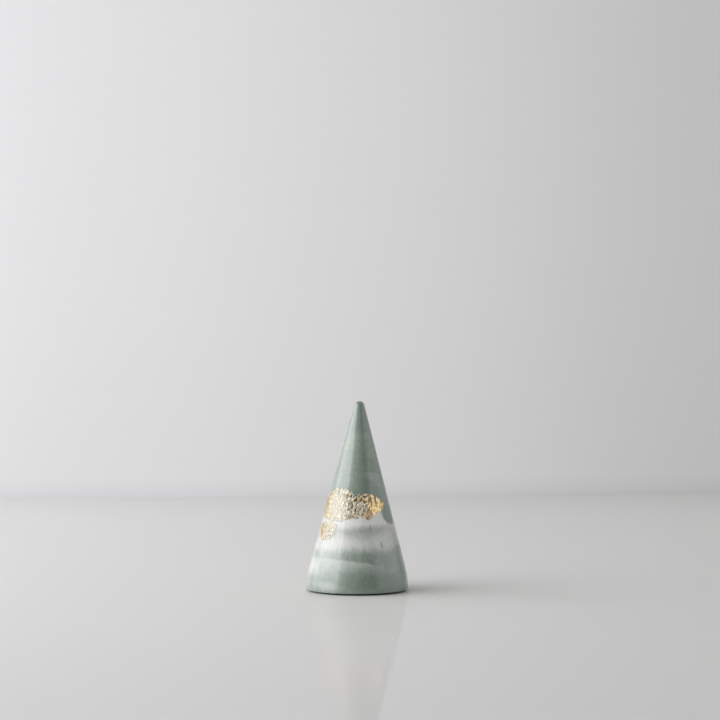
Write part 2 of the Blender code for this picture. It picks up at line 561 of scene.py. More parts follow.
# The foot's pale wash, crisp at its top, where it crosses the green as a curved line
HILL_WASH = Layer(
    low=((-180, 13), (-60, 11.5), (-20, 13.2), (-8, 13.2), (2, 14.4), (12, 13.6), (34, 12.4),
         (60, 8)),
    high=((-180, 18), (-60, 18), (-38, 18.5), (-18, 17.7), (0, 17.2), (14, 16.8), (26, 15.5),
          (38, 14), (48, 12.5), (60, 10), (120, 11)),
    strength=((-180, 10), (-80, 30), (-54, 17), (-42, 28), (-26, 32), (-17, 46), (-4, 45), (8, 40),
              (20, 31), (34, 13), (50, 4), (110, 0)),
    soft=(8.5, 1.5), fray=0.4,
)
# What is left of it lower down, at the left
FOOT_VEIL = Layer(
    low=((-180, 1), (-60, 1.5)),
    high=((-180, 7), (-70, 8), (-56, 5.6), (-36, 6.8), (-16, 5.2)),
    strength=((-180, 20), (-72, 30), (-64, 16), (-52, 15), (-36, 30), (-24, 18), (-17, 8),
              (-11, 0), (120, 0)),
    soft=(2.5, 4.0),
)
# The white patch at the left of the foot
LEFT_PATCH = Layer(
    low=((-180, 12), (-110, 8), (-72, 9), (-56, 10)),
    high=((-180, 19), (-110, 20), (-72, 18), (-50, 17)),
    strength=((-180, 25), (-110, 30), (-88, 50), (-74, 69), (-66, 55), (-60, 39), (-54, 12),
              (-47, 0), (120, 0)),
    soft=(7.0, 6.0),
)
# White clay that the left sheet of leaf covers, all but what shows between its flakes
UNDER_LEAF = Layer(
    low=level(40),
    high=level(51),
    strength=((-180, 0), (-90, 0), (-74, 60), (-24, 60), (-10, 0)),
    soft=(3.0, 3.0),
)
# Faint paler streaks in the green above the leaf
UPPER_VEILS = (
    Layer(
        low=level(58),
        high=((-180, 84), (0, 84.6)),
        strength=((-180, 5), (-60, 0), (-30, 6), (-16, 10), (-5, 9), (6, 2), (60, 0)),
        soft=(12.0, 1.6),
    ),
    Layer(
        low=((-180, 80), (15, 81), (30, 80.4), (48, 79.8)),
        high=level(83.4),
        strength=((-180, 10), (8, 0), (24, 8), (38, 14), (52, 10), (64, 0)),
        soft=(2.4, 1.2),
    ),
    Layer(
        low=level(70),
        high=level(78.5),
        strength=((-180, 0), (26, 0), (38, 12), (48, 12), (62, 0)),
        soft=(4.0, 4.0),
    ),
    Layer(
        low=((-180, 58), (0, 61), (20, 60.5), (42, 56), (60, 55)),
        high=((-180, 62), (0, 62.6), (42, 63), (60, 62)),
        strength=((-180, 12), (-30, 0), (4, 3), (18, 8), (40, 15), (52, 14), (68, 0)),
        soft=(3.5, 1.4),
    ),
)
WHITE_LAYERS = (
    CLOUD, GREY_GROUND, PALE_BAND, LOW_VEIL, HILL_WASH, FOOT_VEIL, LEFT_PATCH, UNDER_LEAF,
    *UPPER_VEILS,
)

# Where the green is least mixed
DEEP_LAYERS = (
    Layer(
        low=level(-6),
        high=((-180, 10), (0, 9), (16, 11.5), (40, 9)),
        strength=((-180, 20), (-40, 0), (-12, 10), (0, 35), (8, 48), (18, 46), (30, 36), (44, 12),
                  (56, 5), (110, 30)),
        soft=(1.0, 6.0),
    ),
    Layer(
        low=level(17),
        high=((-180, 23), (0, 22.5), (30, 22)),
        strength=((-180, 40), (-60, 0), (4, 0), (14, 15), (24, 15), (34, 0), (60, 10), (110, 30)),
        soft=(3.0, 3.0),
    ),
    Layer(
        low=level(-6),
        high=((-180, 15), (54, 16), (60, 20), (66, 16)),
        strength=((-180, 0), (54, 0), (60, 90), (66, 90), (72, 30), (80, 0)),
        soft=(1.0, 9.0),
    ),
    Layer(
        low=((-180, 38), (46, 38.2), (53, 36), (62, 35), (72, 35)),
        high=level(47),
        strength=((-180, 20), (42, 0), (52, 80), (62, 100), (72, 70), (110, 30)),
        soft=(1.2, 7.0),
    ),
    Layer(
        low=level(48),
        high=level(74),
        strength=((-180, 30), (-60, 20), (-20, 22), (0, 32), (10, 35), (16, 42), (30, 15),
                  (50, 15), (66, 40)),
        soft=(5.0, 9.0),
    ),
    Layer(
        low=level(84),
        high=level(104),
        strength=((-180, 20), (-30, 30), (0, 12), (14, 32), (30, 10)),
        soft=(6.0, 3.0),
    ),
)

# The clay's noises, by how many of their swells there are to a metre
DRIFT_SWELLS = 55.0
CLOUD_SWELLS = 130.0
MOTTLE_SWELLS = 480.0
GRAIN_SWELLS = 1400.0
# How far the drift, the streaks and the hairs push an edge about, in millimetres
DRIFT_PUSH = 2.3
STREAK_PUSH = 2.7
HAIR_PUSH = 2.0
# How far the hairs push a small mark round the cone, in degrees, and where its fading starts
SPOT_TURN = 4.0
SPOT_CORE = 0.3


class Marbling:
    """The clay's pattern, drawn on bearings and heights that smooth noise has pushed about."""

    def __init__(self, maker, flank):
        self.maker = maker
        place = maker.node("ShaderNodeTexCoord", out="Object")
        x, y, z = maker.parts(place)
        upright = x - (z - flank.widest) * flank.lean_slope
        self.bearing = maker.math("ARCTAN2", upright, -y) * math.degrees(1.0)
        self.turn = (self.bearing + BACK_BEARING) / (2 * BACK_BEARING)
        self.height = z * MILLIMETRES
        turn_x, turn_y, _ = maker.parts(maker.vector("NORMALIZE", maker.xyz(upright, y, 0.0)))

        def drawn(round_way, up, detail, roughness):
            """Noise drawn out down the flank, by its swells to a radian round and a metre up."""
            vector = maker.xyz(turn_x * round_way, turn_y * round_way, z * up)
            return maker.noise(vector, 1.0, detail, roughness) - 0.5

        self.streak = drawn(round_way=24.0, up=70.0, detail=4.0, roughness=0.65)
        self.hair = drawn(round_way=52.0, up=150.0, detail=3.0, roughness=0.6)
        self.cloudy = maker.noise(place, CLOUD_SWELLS, detail=4.0, roughness=0.65) - 0.5
        self.mottle = maker.noise(place, MOTTLE_SWELLS, detail=3.0, roughness=0.7) - 0.5
        self.grain = maker.noise(place, GRAIN_SWELLS, detail=2.0, roughness=0.7) - 0.5
        drift = maker.noise(place, DRIFT_SWELLS) - 0.5
        self.drifted = self.height + drift * DRIFT_PUSH
        self.frayed = self.streak * STREAK_PUSH + self.hair * HAIR_PUSH

    def along(self, path):
        """The value of a path at the point's bearing, as a share of the full mark."""
        closed = (*path, (BACK_BEARING, path[0][1]))
        points = [
            ((bearing + BACK_BEARING) / (2 * BACK_BEARING), value / FULL_MARK)
            for bearing, value in closed
        ]
        return self.maker.node("ShaderNodeFloatCurve", {"Value": self.turn}, points=points)

    def band(self, layer):
        """How much of a layer shows at the point, from 0 to 1."""
        low = self.along(layer.low) * FULL_MARK
        high = self.along(layer.high) * FULL_MARK
        half_low, half_high = (soft / 2 for soft in layer.soft)
        pushed = self.drifted + self.frayed * layer.fray
        above = (pushed - low).ease(-half_low, half_low)
        below = (high - pushed).ease(-half_high, half_high)
        return above * below * self.along(layer.strength)

    def stacked(self, layers):
        """Layers one over another, each covering its share of what is below."""
        bare = 1.0
        for layer in layers:
            bare = bare * (1 - self.band(layer))
        return 1 - bare

    def blend(self, weights):
        """The noises that are named, added up by their weights."""
        return sum(getattr(self, name) * weight for name, weight in weights.items())

    def spot(self, bearing, height, wide, tall):
        """A small soft mark, by its middle in degrees and millimetres and its half sizes."""
        across = (self.bearing + self.hair * SPOT_TURN - bearing) / wide
        up = (self.height + self.hair * HAIR_PUSH - height) / tall
        return 1 - (across * across + up * up).ease(SPOT_CORE, 1.0)


# What the noises do to the green's tone, to the fine fray and the swirls of the white, and to the
# roughness, each by its weight
TONE = {"cloudy": 0.50, "streak": 0.60, "hair": 0.55, "mottle": 0.25, "grain": 0.1}
FINE = {"streak": 0.35, "hair": 0.45, "mottle": 0.8}
SWIRL = {"cloudy": 0.5, "streak": 0.4, "hair": 0.25}
ROUGH = {"cloudy": 0.10, "grain": 0.08}
# Where the tone turns the green deep, and how far
TONED = (0.0, 0.30, 0.60)
# How much of the fray shows everywhere, and more of it on white
FINE_SHARE = 0.44
FINE_ON_WHITE = 0.20
# How much of the swirls shows everywhere, and more of them where white is half mixed
SWIRL_SHARE = 0.06
SWIRL_HALF_MIXED = 0.6
# How far the small marks turn to deep green or to white
CRACK_SHARE = 0.60
BLOT_SHARE = 0.50
SPECK_SHARE = 0.12
SEAL_IOR = 1.6


def marbled_clay(clay, flank):
    """Sage and white clay, marbled by hand under a clear gloss seal."""
    material, maker = new_material("marbled_clay")
    pattern = Marbling(maker, flank)
    white = pattern.stacked(WHITE_LAYERS)
    deep = pattern.stacked(DEEP_LAYERS)

    green = maker.mix(deep, clay.sage, clay.deep_sage)
    green = maker.mix(pattern.blend(TONE).ease(*TONED), green, clay.deep_sage)
    fine = pattern.blend(FINE) * (FINE_SHARE + white * FINE_ON_WHITE)
    swirl = pattern.blend(SWIRL) * (SWIRL_SHARE + white * (1 - white) * SWIRL_HALF_MIXED)
    share = maker.math("MAXIMUM", white + fine + swirl, 0.0)
    color = maker.mix(maker.math("MINIMUM", share, 1.0), green, clay.white)

    crack = pattern.spot(bearing=19.0, height=34.2, wide=0.9, tall=2.6) * CRACK_SHARE
    blot = pattern.spot(bearing=34.8, height=25.4, wide=1.8, tall=2.2) * BLOT_SHARE
    speck = pattern.spot(bearing=10.0, height=7.0, wide=1.2, tall=1.2) * SPECK_SHARE
    color = maker.mix(crack + blot, color, clay.deep_sage)
    color = maker.mix(speck, color, clay.white)
    inputs = {
        "Base Color": color,
        "Roughness": clay.clay_roughness + pattern.blend(ROUGH),
        "Normal": maker.bump(pattern.grain + pattern.cloudy, strength=0.25, distance=0.0001),
        "Coat Weight": 1.0,
        "Coat Roughness": clay.seal_roughness,
        "Coat IOR": SEAL_IOR,
    }
    put_out(maker, "ShaderNodeBsdfPrincipled", inputs)
    return material


class RINGCONE_OT_clay_cone(bpy.types.Operator):
    """Turn the marbled clay cone"""

    bl_idname = "ringcone.clay_cone"
    bl_label = "Clay Cone"
    bl_options = {"REGISTER", "UNDO"}

    def execute(self, context):
        cone = settings().cone
        flank = Flank(cone)
        sizes = {
            "Segments": cone.segments,
            "Hollow Depth": cone.hollow_depth,
            "Hollow Size": cone.hollow_size,
            "Calm Radius": cone.tip_radius,
            "Lean Slope": flank.lean_slope,
            "Lean From": flank.widest,
            "Material": marbled_clay(settings().clay, flank),
        }
        made = grow("clay_cone", turned_cone_tree(), cone_profile(cone), sizes)
        fit(made, "marbled_clay", "cone_body")
        return {"FINISHED"}


# The gold leaf

# The flat sheet is unrolled at this radius, which is the flank's at the middle of the leaf
UNROLLED_RADIUS = 0.0165


def sheet_spread(node, flank):
    """The middle, the width and the height of a packed sheet of leaf, once it is unrolled."""
    bearings = []
    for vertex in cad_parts[node].data.vertices:
        lean = (vertex.co.z - flank.widest) * flank.lean_slope
        bearings.append(math.atan2(vertex.co.x - lean, -vertex.co.y))
    left, right = min(bearings), max(bearings)
    low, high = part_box(node)
    middle = ((left + right) / 2 * UNROLLED_RADIUS, (low.z + high.z) / 2, 0.0)
    return middle, (right - left) * UNROLLED_RADIUS, high.z - low.z


def merged_copy(node):
    """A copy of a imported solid's mesh, with its loose triangles joined."""
    shape = bmesh.new()
    shape.from_mesh(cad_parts[node].data)
    bmesh.ops.remove_doubles(shape, verts=shape.verts, dist=MERGE_DISTANCE)
    return finished_mesh(shape, node + "_copy")


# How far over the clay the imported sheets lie, to the middle of their thickness
SHEET_LIFT = 0.0004
# How far over the clay the flakes lie at their middles, and at the least
LEAF_LIFT = 0.00009
LEAST_LIFT = 0.00003
SPARE_CELLS = 3
# Edges that bend by more than this many radians stay sharp
RIM_ANGLE = 0.7
# How far every second row of flakes is shifted, as a share of a flake's width
STAGGER = 0.5
# How far the corners of the flakes stray, as shares of a flake's width and height
STRAY_ACROSS = 0.34
STRAY_UP = 0.36
# How far their cut edges wander and their faces crumple, as shares of a flake's width, and how
# many swells of either there are to a width
RAGGED_ACROSS = 0.5
RAGGED_UP = 0.8
RAGGED_SWELLS = 0.6
CRUMPLE = 0.14
CRUMPLE_SWELLS = 1.1
# Least share of the full cracks, and of the full tilt, on calm leaf
CALM_CRACK = 0.8
CALM_TILT = 0.2
# Share of the tilt that goes up and down the flank
TILT_UP = 0.6
# How far the flakes' tones differ, and their cracks, as a share of the usual crack
TONE_SPREAD = 0.3
CRACK_SPREAD = 0.5
# Least share of the full spill past the sheet's edge
LEAST_SPILL = 0.25

# Stretches across the leaf's front, from their start to their end, in metres to the right of the
# middle, and with how much of the change each brings where that isn't all
BUSY_FROM = (-0.0100, -0.0050)
CALM_FROM = (0.0050, 0.0080)
# Stretches of old gold at the leaf's left edge, across its front and at its right end: painted
# light, which warms and brightens the leaf where it mirrors too little of the lamps
PAINTED_LIGHT_AT_LEFT = (-0.0150, -0.0180, 0.65)
PAINTED_LIGHT_AT_FRONT = (-0.0085, -0.0020, 0.35)
PAINTED_LIGHT_AT_RIGHT = (0.0040, 0.0070, 0.60)
# Where the painted highlight over the leaf's front comes in
FRONT_HIGHLIGHT_FROM = (-0.0050, -0.0010)
RIGHT_END = (0.0035, 0.0062)
SLANTED_FROM = (-0.0120, 0.0030)
CREASED_FROM = (-0.0090, -0.0025)
# Down these heights a lobe of the right end reaches further left, by this much
LOBE = (0.0415, 0.0395, 0.0022)


def scatter(maker, low, high, seed, number=None):
    """An even random number for each point or face, or for each number that is given."""
    inputs = {"Min": low, "Max": high, "Seed": seed}
    if number is not None:
        inputs["ID"] = number
    return maker.node("FunctionNodeRandomValue", inputs, "Value", data_type="FLOAT")


def wrapped(maker, given, across, up, lift):
    """Where a point of the unrolled leaf lies on the leaning cone."""
    radius = given["Flank Radius"] - given["Flank Taper"] * up
    radius = radius + lift * maker.math("COSINE", given["Flank Tilt"])
    height = up + lift * maker.math("SINE", given["Flank Tilt"])
    bearing = across / UNROLLED_RADIUS
    lean = (height - given["Lean From"]) * given["Lean Slope"]
    right = radius * maker.math("SINE", bearing) + lean
    return maker.xyz(right, -(radius * maker.math("COSINE", bearing)), height)


def unwrapped(maker, given, place):
    """How far across and up the unrolled leaf a point by the cone lies."""
    x, y, z = maker.parts(place)
    upright = x - (z - given["Lean From"]) * given["Lean Slope"]
    across = maker.math("ARCTAN2", upright, -y) * UNROLLED_RADIUS
    return across, z - SHEET_LIFT * maker.math("SINE", given["Flank Tilt"])


def nearest(maker, sheet, place):
    """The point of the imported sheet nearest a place, with its distance."""
    inputs = {"Geometry": sheet, "Sample Position": place}
    return maker.node("GeometryNodeProximity", inputs, "Position", target_element="FACES")


def named(maker, kind, name):
    """The value that an earlier step stored under a name."""
    inputs = {"Name": name}
    return maker.node("GeometryNodeInputNamedAttribute", inputs, "Attribute", data_type=kind)


def stored(maker, shape, kind, domain, name, value):
    """Stores a value on the shape under a name."""
    inputs = {"Geometry": shape, "Name": name, "Value": value}
    return maker.node("GeometryNodeStoreNamedAttribute", inputs, data_type=kind, domain=domain)


def flake_cells(maker, given):
    """The unrolled leaf as flat cells that fit like cracked glaze, each with its number."""
    width, tall = given["Width"], given["Height"]
    position = maker.node("GeometryNodeInputPosition")
    grid = maker.node(
        "GeometryNodeMeshGrid",
        {
            "Size X": width * (given["Columns"] - 1),
            "Size Y": tall * (given["Rows"] - 1),
            "Vertices X": given["Columns"],
            "Vertices Y": given["Rows"],
        },
    )
    _, up, _ = maker.parts(position)
    stagger = maker.math("PINGPONG", up / tall, 1.0) * STAGGER
    stray = scatter(maker, -STRAY_ACROSS, STRAY_ACROSS, given["Seed"])
    strayed = maker.xyz(
        width * (stagger + stray) + up * given["Slant"],
        tall * scatter(maker, -STRAY_UP, STRAY_UP, given["Seed"] + 1),
        0.0,
    )
    offset = maker.vector("ADD", strayed, given["Middle"])
    moved = maker.node("GeometryNodeSetPosition", {"Geometry": grid, "Offset": offset})
    triangles = maker.node("GeometryNodeTriangulate", {"Mesh": moved})
    cells = maker.node("GeometryNodeDualMesh", {"Mesh": triangles})
    cells = stored(maker, cells, "FLOAT_VECTOR", "FACE", "middle", position)
    return stored(maker, cells, "INT", "FACE", "number", maker.node("GeometryNodeInputIndex"))


def busy(across):
    """How broken the leaf is: most at the middle of the front, and calmer out to both sides."""
    return across.ease(*BUSY_FROM) * (1 - across.ease(*CALM_FROM))


def torn_leaf_tree():
    """Breaks a packed sheet of leaf into flakes that follow its outline and hug the cone."""
    tree, maker, given = geometry_tree(
        "torn_leaf",
        Vector=("Middle",),
        Int=("Columns", "Rows", "Seed"),
        Float=("Width", "Height", "Slant", "Crack", "Missing", "Tilt", "Lift", "Thickness",
               "Spill", "Wear", "Flank Radius", "Flank Taper", "Flank Tilt", "Lean Slope",
               "Lean From"),
    )
    seed, sheet = given["Seed"], given["Geometry"]
    width, spill = given["Width"], given["Spill"]
    cells = flake_cells(maker, given)

    position = maker.node("GeometryNodeInputPosition")
    across, up, _ = maker.parts(position)
    middle = wrapped(maker, given, across, up, SHEET_LIFT)
    rim = nearest(maker, sheet, middle)
    stray = rim.also("Distance")
    allowed = spill * scatter(maker, LEAST_SPILL, 1.0, seed + 7)
    outside = maker.math("GREATER_THAN", stray, allowed)
    gone = maker.math("LESS_THAN", scatter(maker, 0.0, 1.0, seed + 2), given["Missing"])
    lost = maker.math("MAXIMUM", outside, gone)
    kept = maker.node(
        "GeometryNodeDeleteGeometry", {"Geometry": cells, "Selection": lost}, domain="FACE"
    )
    apart = maker.node("GeometryNodeSplitEdges", {"Mesh": kept})
    crack = given["Crack"] * (CALM_CRACK + (1 - CALM_CRACK) * busy(across))
    scale = 1 - crack * scatter(maker, 1 - CRACK_SPREAD, 1 + CRACK_SPREAD, seed + 3)
    shrunk = maker.node(
        "GeometryNodeScaleElements", {"Geometry": apart, "Scale": scale}, domain="FACE"
    )
    fine = maker.node("GeometryNodeSubdivideMesh", {"Mesh": shrunk, "Level": 2})

    wander = maker.noise(position, RAGGED_SWELLS / width, out="Color")
    wander = maker.vector("SUBTRACT", wander, (0.5, 0.5, 0.5))
    most = maker.xyz(width * RAGGED_ACROSS, width * RAGGED_UP, 0.0)
    ragged = maker.vector("MULTIPLY", wander, most)
    rough_cut = maker.node("GeometryNodeSetPosition", {"Geometry": fine, "Offset": ragged})

    rim_across, rim_up = unwrapped(maker, given, rim)
    past = maker.math("GREATER_THAN", stray, spill)
    across = across + (rim_across - across) * past
    up = up + (rim_up - up) * past

    number = named(maker, "INT", "number")
    mid_across, mid_up, _ = maker.parts(named(maker, "FLOAT_VECTOR", "middle"))
    tip = given["Tilt"] * (CALM_TILT + (1 - CALM_TILT) * busy(mid_across))
    lean_across = tip * scatter(maker, -1.0, 1.0, seed + 4, number)
    lean_up = tip * scatter(maker, -TILT_UP, TILT_UP, seed + 5, number)
    crumple = maker.noise(position, CRUMPLE_SWELLS / width, detail=1.0) - 0.5
    lift = (
        given["Lift"]
        + lean_across * (across - mid_across)
        + lean_up * (up - mid_up)
        + crumple * width * CRUMPLE
    )
    place = wrapped(maker, given, across, up, maker.math("MAXIMUM", lift, LEAST_LIFT))
    placed = maker.node("GeometryNodeSetPosition", {"Geometry": rough_cut, "Position": place})
    # Painted light: the placed stretches turn the leaf towards old gold at its left edge, front and
    # right end; the per-sheet wear and the random spread are the leaf's own tone
    placed_painted_light = mid_across.ease(*PAINTED_LIGHT_AT_LEFT) + mid_across.ease(*PAINTED_LIGHT_AT_FRONT)
    placed_painted_light = placed_painted_light + (mid_across + mid_up.ease(*LOBE)).ease(*PAINTED_LIGHT_AT_RIGHT)
    spread = scatter(maker, -TONE_SPREAD, TONE_SPREAD, seed + 6, number)
    toned = stored(maker, placed, "FLOAT", "POINT", "tone", given["Wear"] + placed_painted_light + spread)
    face = maker.node(
        "GeometryNodeExtrudeMesh",
        {"Mesh": toned, "Offset Scale": given["Thickness"], "Individual": False},
        mode="FACES",
    )
    back = maker.node("GeometryNodeFlipFaces", {"Mesh": toned})
    joined = maker.node("GeometryNodeJoinGeometry")
    for side in (face, back):
        maker.tree.links.new(side.socket, joined.socket.node.inputs[0])
    bare = maker.node(
        "GeometryNodeMergeByDistance", {"Geometry": joined, "Distance": MERGE_DISTANCE}
    )
    for name in ("middle", "number"):
        bare = maker.node("GeometryNodeRemoveAttribute", {"Geometry": bare, "Name": name})
    bent = maker.node("GeometryNodeInputMeshEdgeAngle", out="Unsigned Angle")
    sharp = maker.math("GREATER_THAN", bent, RIM_ANGLE)
    smooth = maker.node("GeometryNodeSetShadeSmooth", {"Geometry": bare})
    rimmed = maker.node(
        "GeometryNodeSetShadeSmooth",
        {"Geometry": smooth, "Selection": sharp, "Shade Smooth": False},
        domain="EDGE",
    )
    end_tree(maker, given, rimmed)
    return tree


# Swells of the leaf's wear to a metre
WEAR_SWELLS = 420.0
# The wrinkles, by how many there are to a metre across and up, and how far they slant at the
# front about this height
WRINKLES_ACROSS = 1350.0
WRINKLES_UP = 500.0
WRINKLE_SLANT = 600.0
SLANT_HEIGHT = 0.043
# Where on a wrinkle the painted crease shade gets deep and the painted crest highlight bright
CREASE_SHADE = (0.50, 0.43)
CREST_HIGHLIGHT = (0.52, 0.58)
# How much painted crease shade and painted crest highlight shows everywhere, and more of them at the
# front
CREASE_SHADE_SHARE = 0.16
CREASE_SHADE_AT_FRONT = 0.30
CREASE_SHADE_SHORT_OF_END = 0.54
CREST_HIGHLIGHT_SHARE = 0.20
CREST_HIGHLIGHT_AT_FRONT = 0.65
# How high the wrinkles stand everywhere, and more of it at the front
WRINKLE_SHARE = 0.5
WRINKLE_AT_FRONT = 1.9
LEAF_ROUGHNESS = 0.26
RUBBED_SMOOTHER = 0.06
FRONT_ROUGHER = 0.14


def gold_leaf(leaf):
    """Pale beaten gold, finely wrinkled and rubbed to old gold in places, with painted light on it.
    """
    material, maker = new_material("gold_leaf")
    place = maker.node("ShaderNodeTexCoord", out="Object")
    tone = maker.node("ShaderNodeAttribute", out="Fac", attribute_name="tone")
    wear = maker.noise(place, WEAR_SWELLS, detail=3.0, roughness=0.6)
    # How far the leaf turns to old gold: partly its own wear, partly the painted light stored in its
    # tone
    wear_and_painted_light = (wear - 0.5 + tone).ease(0.0, 1.0)
    x, y, z = maker.parts(place)
    # Painted highlight: paler gold over the front, stopping short of the right end
    short_of_end = 1 - (x + z.ease(*LOBE)).ease(*RIGHT_END)
    bright = x.ease(*FRONT_HIGHLIGHT_FROM) * short_of_end
    color = maker.mix(bright, leaf.gold, leaf.front_highlight_gold)
    color = maker.mix(wear_and_painted_light, color, leaf.old_gold)

    sheared = x * WRINKLES_ACROSS - (z - SLANT_HEIGHT) * x.ease(*SLANTED_FROM) * WRINKLE_SLANT
    wrinkles = maker.xyz(sheared, y * WRINKLES_ACROSS, z * WRINKLES_UP)
    wrinkle = maker.noise(wrinkles, 1.0, detail=1.0)
    creased = x.ease(*CREASED_FROM)
    middle = creased * short_of_end
    # Painted shade in the creases of the wrinkles, and painted highlights on their crests, both most
    # at the front
    crease_shade = CREASE_SHADE_SHARE + creased * CREASE_SHADE_AT_FRONT + middle * CREASE_SHADE_SHORT_OF_END
    color = maker.mix(wrinkle.ease(*CREASE_SHADE) * crease_shade, color, leaf.crease_shade)
    crest_highlight = CREST_HIGHLIGHT_SHARE + middle * CREST_HIGHLIGHT_AT_FRONT
    color = maker.mix(wrinkle.ease(*CREST_HIGHLIGHT) * crest_highlight, color, leaf.glint)
    height = wrinkle * (WRINKLE_SHARE + middle * WRINKLE_AT_FRONT)
    inputs = {
        "Base Color": color,
        "Metallic": 1.0,
        "Roughness": LEAF_ROUGHNESS - wear_and_painted_light * RUBBED_SMOOTHER + bright * FRONT_ROUGHER,
        "Normal": maker.bump(height, strength=0.8, distance=0.0002),
    }
    put_out(maker, "ShaderNodeBsdfPrincipled", inputs)
    return material


class SheetLook(NamedTuple):
    """How a sheet's flakes lie.

    The narrowness is the share of the usual flake width, the slant is run over rise, the crack is
    the share of a flake's size that the crack beside it takes, missing is the share of the flakes
    that have come away, and the wear is how far the rest are rubbed to old gold.
    """

    seed: int
    narrow: float
    slant: float
    crack: float
    missing: float
    wear: float


SHEET_LOOKS = {
    "gold_leaf_left": SheetLook(11, narrow=1.0, slant=0.08, crack=0.18, missing=0.015, wear=-0.15),
    "gold_leaf_right": SheetLook(23, narrow=1.0, slant=0.30, crack=0.07, missing=0.05, wear=0.15),
    "gold_leaf_tail": SheetLook(37, narrow=0.9, slant=0.1, crack=0.22, missing=0.08, wear=-0.05),
}


class RINGCONE_OT_gold_leaf(bpy.types.Operator):
    """Lay the crackled gold leaf on the cone"""

    bl_idname = "ringcone.gold_leaf"
    bl_label = "Gold Leaf"
    bl_options = {"REGISTER", "UNDO"}

    def execute(self, context):
        leaf = settings().leaf
        flank = Flank(settings().cone)
        tree = torn_leaf_tree()
        finish = gold_leaf(leaf)
        for node, look in SHEET_LOOKS.items():
            middle, wide, tall = sheet_spread(node, flank)
            flake_width = leaf.flake_width * look.narrow
            sizes = {
                "Middle": middle,
                "Width": flake_width,
                "Height": leaf.flake_height,
                "Columns": math.ceil(wide / flake_width) + 2 * SPARE_CELLS,
                "Rows": math.ceil(tall / leaf.flake_height) + 2 * SPARE_CELLS,
                "Slant": look.slant,
                "Crack": look.crack,
                "Missing": look.missing,
                "Tilt": leaf.tilt,
                "Lift": LEAF_LIFT,
                "Thickness": leaf.thickness,
                "Spill": leaf.spill,
                "Wear": look.wear,
                "Flank Radius": flank.radius_at_table,
                "Flank Taper": flank.taper,
                "Flank Tilt": flank.tilt,
                "Lean Slope": flank.lean_slope,
                "Lean From": flank.widest,
                "Seed": look.seed,
                "Material": finish,
            }
            made = grow(node.replace("gold_leaf", "flakes"), tree, merged_copy(node), sizes)
            fit(made, "gold_leaf", node)
            light_leaf(made)
        return {"FINISHED"}


# The felt pad

PAD_SEGMENTS = 240
PAD_RINGS = 36
# The pad is flat out to this share of its radius, and then comes its rounded rim, each point of
# it by its share of the radius and of the height
PAD_FLAT = 0.97
PAD_RIM = ((0.985, 0.0), (0.997, 0.28), (1.0, 0.5), (0.997, 0.72), (0.985, 1.0))
# Waves of the cut edge: how many there are, how high they are and where they start, in radians
PAD_WAVES = ((3, 1.0, 0.0), (11, 0.6, 1.0), (29, 0.4, 0.0))
# Swells of the felt's noises to a metre
NAP_SWELLS = 2600.0
PATCH_SWELLS = 300.0
# How much lighter the raised nap is, how much of it is fine, and where it counts as raised
NAP_LIGHTER = 3.0
NAP_FINE = 0.6
NAP_RAISED = (0.38, 0.62)


def pressed_felt(pad):
    """Dark pressed felt, with a fine matted nap."""
    material, maker = new_material("pad_felt")
    place = maker.node("ShaderNodeTexCoord", out="Object")
    matted = maker.noise(place, NAP_SWELLS, detail=4.0, roughness=0.7)
    patch = maker.noise(place, PATCH_SWELLS)
    lighter = tuple(channel * NAP_LIGHTER for channel in pad.felt)
    raised = (matted * NAP_FINE + patch * (1 - NAP_FINE)).ease(*NAP_RAISED)
    inputs = {
        "Base Color": maker.mix(raised, pad.felt, lighter),
        "Roughness": 0.95,
        "Normal": maker.bump(matted, strength=0.8, distance=pad.nap),
        "Sheen Weight": 0.3,
    }
    put_out(maker, "ShaderNodeBsdfPrincipled", inputs)
    return material


class RINGCONE_OT_felt_pad(bpy.types.Operator):
    """Cut the felt pad and press it under the foot"""

    bl_idname = "ringcone.felt_pad"
    bl_label = "Felt Pad"
    bl_options = {"REGISTER", "UNDO"}

    def execute(self, context):
        pad = settings().pad
        shape = bmesh.new()
        flat = [PAD_FLAT * (ring / PAD_RINGS) for ring in range(PAD_RINGS)]
        outline = [(share, 0.0) for share in flat]
        outline += PAD_RIM
        outline += [(share, 1.0) for share in reversed(flat)]
        tall = CONE_LOW.z - PAD_LOW.z
        most = 2 * sum(high for _, high, _ in PAD_WAVES)
        columns = []
        for segment in range(PAD_SEGMENTS):
            turn = math.tau * segment / PAD_SEGMENTS
            waver = sum(high * math.sin(count * turn + start) for count, high, start in PAD_WAVES)
            cut = PAD_RADIUS - pad.edge_waver * (0.5 + waver / most)
            x, y = cut * math.cos(turn), cut * math.sin(turn)
            places = [(share * x, share * y, PAD_LOW.z + up * tall) for share, up in outline]
            columns.append([shape.verts.new(place) for place in places])
        for near, far in zip(columns, columns[1:] + columns[:1]):
            for row in range(len(outline) - 1):
                shape.faces.new((near[row], far[row], far[row + 1], near[row + 1]))
        bmesh.ops.remove_doubles(shape, verts=shape.verts, dist=MERGE_DISTANCE)
        bmesh.ops.recalc_face_normals(shape, faces=shape.faces)
        mesh = finished_mesh(shape, "felt_pad")
        mesh.shade_smooth()
        mesh.materials.append(pressed_felt(pad))
        made = new_object("felt_pad", mesh)
        fit(made, "pad_felt", "base_pad")
        return {"FINISHED"}


# The stage

TABLE_HALF_WIDTH = 3.0
TABLE_FRONT = -3.0
WALL_HEIGHT = 1.6
WALL_HALF_WIDTH = 1.3
COVE_RADIUS = 0.012
COVE_STEPS = 8
WALL_TURN = math.radians(5.2)
